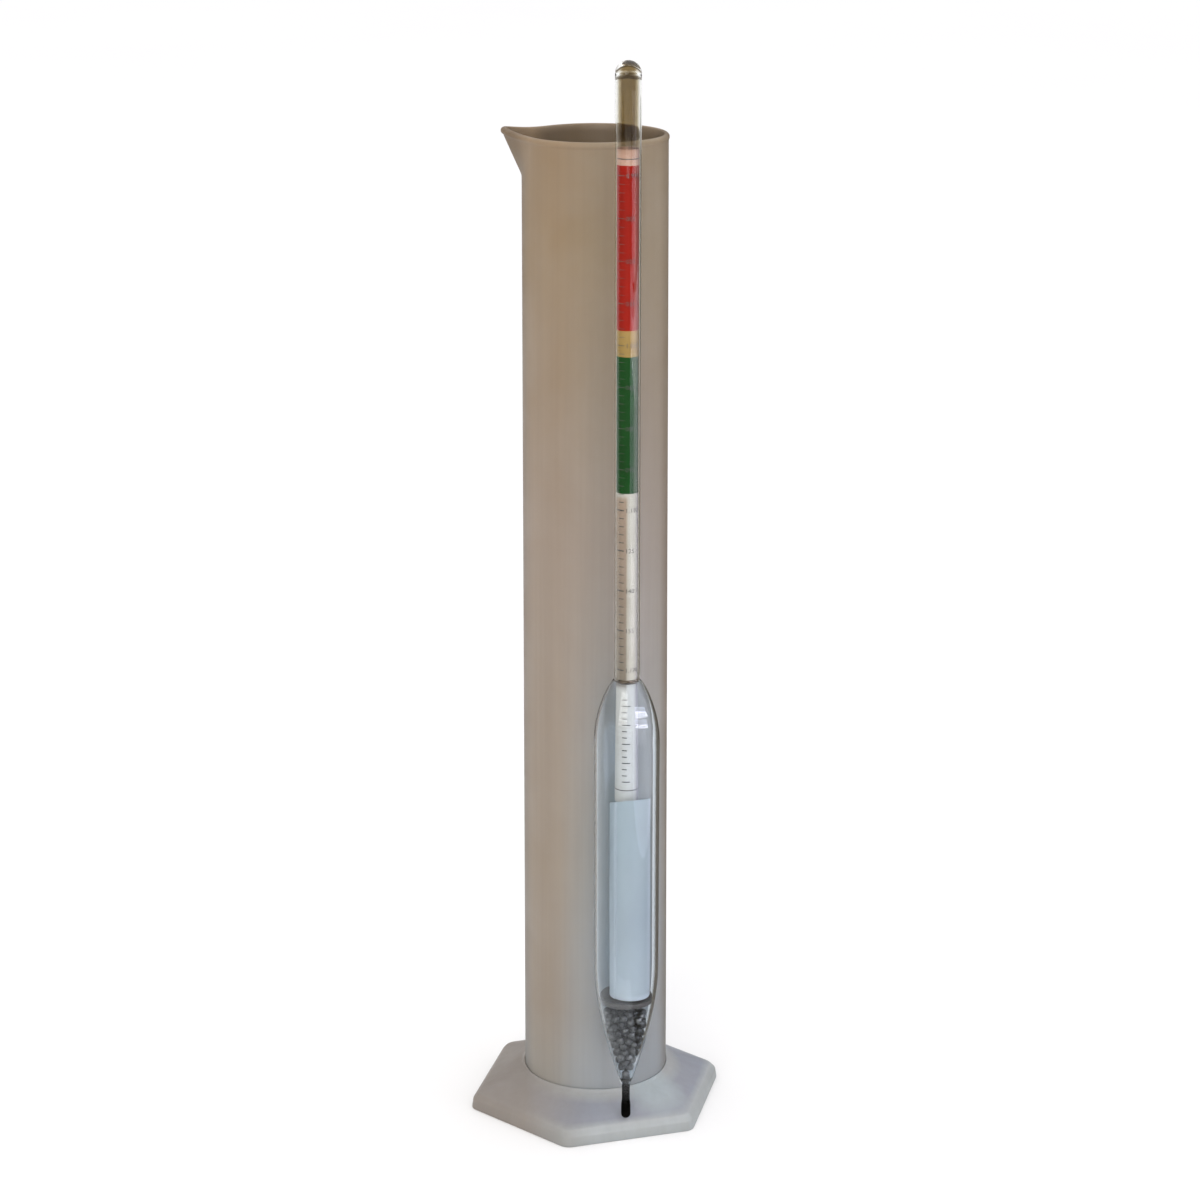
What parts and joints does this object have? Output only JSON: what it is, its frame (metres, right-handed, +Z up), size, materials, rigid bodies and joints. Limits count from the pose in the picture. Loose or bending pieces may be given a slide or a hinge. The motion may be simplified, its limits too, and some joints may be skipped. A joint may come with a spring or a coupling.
{
  "type": "hydrometer",
  "caption": "Glass hydrometer with a colour-banded paper scale and lead shot ballast, standing on the hexagonal foot of its tall, spouted, translucent plastic trial jar",
  "frame": {"origin": "on the jar's axis, in the plane of the surface that the foot stands on", "axes": "+Z up along the jar, -X towards the pouring spout, -Y towards the side where the hydrometer stands"},
  "size_m": [0.0636, 0.0657, 0.2689],
  "materials": {
    "foot_plastic": "moulded polypropylene, satin, slightly translucent",
    "jar_plastic": "frosted translucent polypropylene, satin",
    "float_glass": "clear, fire-polished",
    "stem_glass": "clear with a smoky tone, fire-polished",
    "scale_paper": "matt printed paper",
    "glue": "dark set glue",
    "card": "matt pale grey-blue card",
    "lead": "dull lead",
    "wadding": "resin-soaked wad",
    "resin": "black pitch"
  },
  "bodies": {
    "foot": {"hex_foot": "foot_plastic"},
    "jar": {"jar_tube": "jar_plastic"},
    "hydrometer": {"float_bulb": "float_glass", "stem_tube": "stem_glass", "paper_scale": "scale_paper", "scale_glue": "glue", "float_card": "card", "ballast_shot": "lead", "shot_seal": "wadding", "tail_resin": "resin"}
  },
  "joints": [
    {"name": "jar_pull_off", "type": "slide", "parent": "foot", "child": "jar", "axis": [0, 0, 1], "range_m": [0, 0.02]},
    {"name": "hydrometer_lift", "type": "slide", "parent": "foot", "child": "hydrometer", "axis": [0, 0, 1], "range_m": [0, 0.25]}
  ]
}
